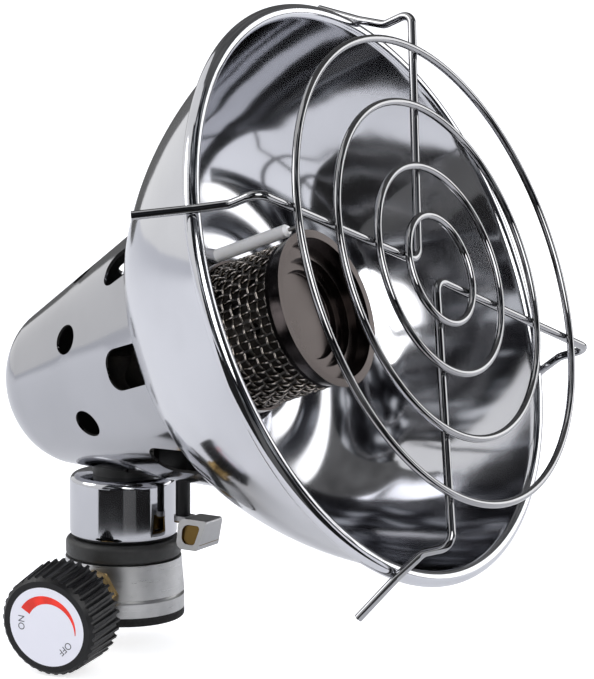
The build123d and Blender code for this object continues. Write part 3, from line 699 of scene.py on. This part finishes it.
def inner_thread(radius, depth, pitch, turns):
    """Helical ridge of triangular section on the inside of a bore round +Z."""
    maker = bmesh.new()
    start = pitch * RIDGE_START
    corners = [maker.verts.new(place) for place in (
        (radius + RIDGE_SINK, 0, start - pitch * RIDGE_HALF_WIDTH),
        (radius - depth, 0, start),
        (radius + RIDGE_SINK, 0, start + pitch * RIDGE_HALF_WIDTH),
    )]
    face = maker.faces.new(corners)
    bmesh.ops.spin(maker, geom=[face], axis=(0, 0, 1), cent=(0, 0, 0),
                   dvec=(0, 0, pitch / RIDGE_STEPS), steps=turns * RIDGE_STEPS, angle=tau * turns)
    bmesh.ops.recalc_face_normals(maker, faces=maker.faces[:])
    return maker


# ---------------------------------------------------------------------------- operators

class HEATER_OT_metalwork(bpy.types.Operator):
    """Plate the bowl, shroud, neck and guard, and finish the turned and brass pieces"""
    bl_idname = "heater.metalwork"
    bl_label = "Metalwork"

    def execute(self, context):
        colours = context.scene.heater_colours
        # the neck's and the shroud's chrome are darker copies of the bowl's: painted shade
        chrome = chrome_plate("chrome_sheet", shade(colours.chrome, NECK_PAINTED_SHADE))
        bowl = spun_chrome("chrome_bowl", colours.chrome, HEAD_ORIGIN, FORWARD)
        shroud = two_sided_plate("chrome_shroud", shade(colours.chrome, SHROUD_PAINTED_SHADE), SHROUD_INSIDE,
                                 HEAD_ORIGIN, SHROUD_AXIS)
        dark_steel = heated_steel("dark_steel", DARK_STEEL, 0.5)
        wire = chrome_plate("chrome_wire", colours.wire, smear=0.05)
        valve = turned_metal("satin_valve", colours.valve, 0.34)
        brass = turned_metal("turned_brass", colours.brass, 0.28, stretch=(500, 60, 60), wear=0.6)
        steel = heated_steel("inner_steel", INNER_STEEL, 0.35)
        dress("reflector_bowl", bowl)
        finish_piece("spun_bowl", spun_bowl(BOWL_STEPS), bowl, "heater", ("reflector_bowl",))
        dress("shroud", shroud)
        dress("neck_cup", chrome)
        for node in ("guard_ring_1", "guard_ring_2", "guard_ring_3", "guard_ring_4",
                     "guard_wire_top_left", "guard_wire_right_bottom"):
            dress(node, wire)
        dress("valve_body", valve)
        for node in ("gland_nut", "valve_stem", "jet", "canister_pin"):
            dress(node, brass)
        for node in ("clamp_saddle", "lock_nut", "riser_tube", "elbow_block", "mixing_tube"):
            dress(node, dark_steel)
        dress("electrode_pin", steel)
        return {"FINISHED"}


class HEATER_OT_burner(bpy.types.Operator):
    """Finish the burner's cap, flange, core and ceramic"""
    bl_idname = "heater.burner"
    bl_label = "Burner"

    def execute(self, context):
        sizes = context.scene.heater_sizes
        cap = chrome_plate("burner_cap_steel", CAP_STEEL, smear=0.30, ripple=0.00002)
        inner = heated_steel("burner_core_steel", CORE_STEEL, 0.55)
        gauze = heated_steel("burner_gauze", GAUZE_STEEL, 0.20, grit=0.000008)
        dress("burner_cap", cap)
        dress("burner_flange", cap)
        dress("burner_core", inner)
        dress("burner_mesh", cap)
        dress("electrode_insulator", glazed_ceramic("white_ceramic"))
        sleeve = woven_sleeve(SLEEVE_RADIUS, SLEEVE_START, SLEEVE_END,
                              sizes.weave_wires, sizes.weave_rings, sizes.weave_gauge)
        finish_piece("burner_weave", sleeve, gauze, "heater", ("burner_mesh",))
        return {"FINISHED"}


class HEATER_OT_controls(bpy.types.Operator):
    """Finish the knob, its dial, the igniter and the rubber"""
    bl_idname = "heater.controls"
    bl_label = "Controls"

    def execute(self, context):
        colours = context.scene.heater_colours
        sizes = context.scene.heater_sizes
        plastic = moulded_plastic("knob_plastic", colours.knob, 0.36)
        dial = printed_face("dial_face", colours.dial)
        rubber = moulded_plastic("seat_rubber", RUBBER, 0.7, grain=1200.0)
        collar = moulded_plastic("collar_plastic", COLLAR, 0.42)
        sheet = dished_steel("trigger_sheet", TRIGGER_FACE, TRIGGER_PAINTED_RECESS)
        for node in ("knob", "igniter_body", "igniter_plunger"):
            dress(node, plastic)
        dress("knob_label", dial)
        for node in ("base_ring", "canister_seal", "stem_o_ring", "ignition_lead"):
            dress(node, rubber)
        for node in ("neck_collar", "saddle_washer"):
            dress(node, collar)
        dress("igniter_trigger", sheet)
        red = moulded_plastic("dial_red", colours.dial_red, 0.35, depth=0.00001)
        ink = moulded_plastic("dial_ink", DIAL_INK, 0.4, depth=0.00001)
        finish_piece("dial_arc", dial_band(sizes.dial_arc), red, "gas_knob", smooth=False)
        for name, text, angle in DIAL_WORDS:
            finish_piece(name, dial_word(text, angle), ink, "gas_knob", smooth=False)
        return {"FINISHED"}


class HEATER_OT_thread(bpy.types.Operator):
    """Cut the look of the canister thread into the valve's bore"""
    bl_idname = "heater.thread"
    bl_label = "Canister thread"

    def execute(self, context):
        pitch = context.scene.heater_sizes.thread_pitch
        colours = context.scene.heater_colours
        turns = int(THREAD_DEPTH / pitch) - 1
        maker = inner_thread(THREAD_RADIUS, pitch * RIDGE_HEIGHT, pitch, turns)
        brass = turned_metal("thread_brass", colours.brass, 0.3, wear=0.7)
        finish_piece("canister_thread", maker, brass, "heater", smooth=False)
        return {"FINISHED"}


class HEATER_OT_studio(bpy.types.Operator):
    """Add the floor, the lamps, the white surroundings and the camera"""
    bl_idname = "heater.studio"
    bl_label = "Studio"

    def execute(self, context):
        scene = context.scene
        scene.view_settings.view_transform = "Standard"
        self.make_world(scene)
        self.make_floor()
        tones = dict.fromkeys(card[-1] for card in CARDS)
        cloths = {tone: self.make_cloth(tone) for tone in tones}
        for *card, tone in CARDS:
            self.make_card(*card, cloths[tone])
        for lamp in LAMPS:
            self.make_lamp(*lamp)
        self.make_camera(scene)
        return {"FINISHED"}

    def make_world(self, scene):
        """Room light for the object's surfaces, and white wherever the camera or a mirror looks."""
        world = bpy.data.worlds.new("studio_world")
        scene.world = world
        world.use_nodes = True
        tree = world.node_tree
        tree.nodes.clear()
        rays = add_node(tree, "ShaderNodeLightPath", -600, 200)
        seen = link_math(tree, "ADD", -400, 200,
                         rays.outputs["Is Camera Ray"], rays.outputs["Is Glossy Ray"])
        direct = link_math(tree, "ADD", -200, 200, seen, rays.outputs["Is Transmission Ray"])
        room = add_node(tree, "ShaderNodeBackground", -200, 0)
        room.inputs["Color"].default_value = (*ROOM_TINT, 1)
        room.inputs["Strength"].default_value = ROOM_STRENGTH
        paper = add_node(tree, "ShaderNodeBackground", -200, -150)
        paper.inputs["Color"].default_value = (1, 1, 1, 1)
        paper.inputs["Strength"].default_value = 1.0
        mix = add_node(tree, "ShaderNodeMixShader", 50, 100)
        output = add_node(tree, "ShaderNodeOutputWorld", 250, 100)
        tree.links.new(direct, mix.inputs["Fac"])
        tree.links.new(room.outputs["Background"], mix.inputs[1])
        tree.links.new(paper.outputs["Background"], mix.inputs[2])
        tree.links.new(mix.outputs["Shader"], output.inputs["Surface"])

    def make_floor(self):
        """Paper floor that keeps the object's shadow."""
        low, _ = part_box("knob")
        maker = bmesh.new()
        bmesh.ops.create_grid(maker, x_segments=1, y_segments=1, size=FLOOR_SIZE,
                              matrix=Matrix.Translation((0, 0, low[2] - FLOOR_DROP)))
        mesh = bpy.data.meshes.new("studio_floor")
        maker.to_mesh(mesh)
        maker.free()
        floor = bpy.data.objects.new("studio_floor", mesh)
        bpy.context.scene.collection.objects.link(floor)
        material, tree, shader = start_material("floor_paper")
        shader.inputs["Base Color"].default_value = (*FLOOR_TINT, 1)
        shader.inputs["Roughness"].default_value = 0.9
        shader.inputs["Specular IOR Level"].default_value = 0.0
        rays = add_node(tree, "ShaderNodeLightPath", -300, 400)
        seen = link_math(tree, "MULTIPLY", -100, 350, rays.outputs["Is Camera Ray"], FLOOR_GLOW_SEEN)
        mirrored = link_math(tree, "ADD", -200, 500,
                             rays.outputs["Is Glossy Ray"], rays.outputs["Is Transmission Ray"])
        strength = link_math(tree, "MULTIPLY_ADD", 0, 450, mirrored, FLOOR_GLOW_MIRRORED, seen)
        glow = add_node(tree, "ShaderNodeEmission", 0, 300)
        tree.links.new(strength, glow.inputs["Strength"])
        mix = add_node(tree, "ShaderNodeAddShader", 300, 300)
        tree.links.new(shader.outputs["BSDF"], mix.inputs[0])
        tree.links.new(glow.outputs["Emission"], mix.inputs[1])
        tree.links.new(mix.outputs["Shader"], tree.nodes["Material Output"].inputs["Surface"])
        mesh.materials.append(material)

    def make_cloth(self, plain):
        """Dark cloth with soft clouds of light, or one of a nearly plain tone."""
        material = bpy.data.materials.new("card_cloth")
        material.use_nodes = True
        tree = material.node_tree
        tree.nodes.clear()
        clouds = add_noise(tree, -400, 0, CLOUD_SCALE, 1.0, shift=CLOUD_SHIFT)
        tones = [(0.3, (plain * 0.7,) * 3), (0.7, (plain * 1.3,) * 3)] if plain else CLOUD_TONES
        tone = add_ramp(tree, clouds.outputs["Fac"], -200, 0, tones)
        glow = add_node(tree, "ShaderNodeEmission", 100, 0)
        output = add_node(tree, "ShaderNodeOutputMaterial", 300, 0)
        tree.links.new(tone.outputs["Color"], glow.inputs["Color"])
        tree.links.new(glow.outputs["Emission"], output.inputs["Surface"])
        return material

    def make_card(self, name, inner, outer, start, end, material):
        """Card swept round the object, that only mirror surfaces see."""
        low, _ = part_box("knob")
        ends = [Matrix.Rotation(radians(start), 3, "Z") @ Vector((reach, 0, low[2] + height))
                for reach, height in (inner, outer)]
        maker = bmesh.new()
        edge = maker.edges.new([maker.verts.new(place) for place in ends])
        bmesh.ops.spin(maker, geom=[edge], axis=(0, 0, 1), cent=(0, 0, 0), steps=CARD_STEPS,
                       angle=radians(end - start))
        mesh = bpy.data.meshes.new(name)
        maker.to_mesh(mesh)
        maker.free()
        card = bpy.data.objects.new(name, mesh)
        bpy.context.scene.collection.objects.link(card)
        mesh.materials.append(material)
        card.visible_camera = False
        card.visible_diffuse = False
        card.visible_shadow = False

    def make_lamp(self, name, place, target, size, power):
        """Round lamp that faces a point."""
        lamp = bpy.data.lights.new(name, "AREA")
        lamp.shape = "DISK"
        lamp.size = size
        lamp.energy = power
        holder = bpy.data.objects.new(name, lamp)
        bpy.context.scene.collection.objects.link(holder)
        holder.location = place
        aim = Vector(target) - Vector(place)
        holder.rotation_euler = aim.to_track_quat("-Z", "Y").to_euler()

    def make_camera(self, scene):
        """Camera that looks along the neck's side into the bowl."""
        data = bpy.data.cameras.new("studio_camera")
        data.lens = CAMERA_LENS
        data.sensor_width = CAMERA_SENSOR
        data.sensor_fit = "AUTO"
        data.clip_start = 0.05
        data.clip_end = 20.0
        camera = bpy.data.objects.new("studio_camera", data)
        scene.collection.objects.link(camera)
        side = Vector((cos(CAMERA_AZIMUTH), sin(CAMERA_AZIMUTH), 0))
        target = Vector((0, 0, CAMERA_TARGET_HEIGHT)) + side * CAMERA_TARGET_SIDE
        back = Vector((
            sin(CAMERA_AZIMUTH) * cos(CAMERA_ELEVATION),
            -cos(CAMERA_AZIMUTH) * cos(CAMERA_ELEVATION),
            sin(CAMERA_ELEVATION),
        ))
        camera.location = target + back * CAMERA_DISTANCE
        turn = (-back).to_track_quat("-Z", "Y").to_matrix() @ Matrix.Rotation(CAMERA_ROLL, 3, "Z")
        camera.rotation_euler = turn.to_euler()
        scene.camera = camera


class HEATER_PT_panel(bpy.types.Panel):
    """Sizes, colours and steps of the heater"""
    bl_idname = "HEATER_PT_panel"
    bl_label = "Heater"
    bl_space_type = "VIEW_3D"
    bl_region_type = "UI"
    bl_category = "Heater"

    def draw(self, context):
        layout = self.layout
        for settings in (context.scene.heater_sizes, context.scene.heater_colours):
            for key in settings.bl_rna.properties.keys():
                if key not in {"rna_type", "name"}:
                    layout.prop(settings, key)
        for step in STEPS:
            layout.operator(step.bl_idname)


STEPS = (HEATER_OT_metalwork, HEATER_OT_burner, HEATER_OT_controls, HEATER_OT_thread, HEATER_OT_studio)
CLASSES = (HeaterSizes, HeaterColours, *STEPS, HEATER_PT_panel)


def register():
    for item in CLASSES:
        bpy.utils.register_class(item)
    bpy.types.Scene.heater_sizes = PointerProperty(type=HeaterSizes)
    bpy.types.Scene.heater_colours = PointerProperty(type=HeaterColours)


def unregister():
    del bpy.types.Scene.heater_colours
    del bpy.types.Scene.heater_sizes
    for item in reversed(CLASSES):
        bpy.utils.unregister_class(item)


def main():
    register()
    bpy.ops.heater.metalwork()
    bpy.ops.heater.burner()
    bpy.ops.heater.controls()
    bpy.ops.heater.thread()
    bpy.ops.heater.studio()
    bpy.context.view_layer.update()


if __name__ == "__main__":
    main()
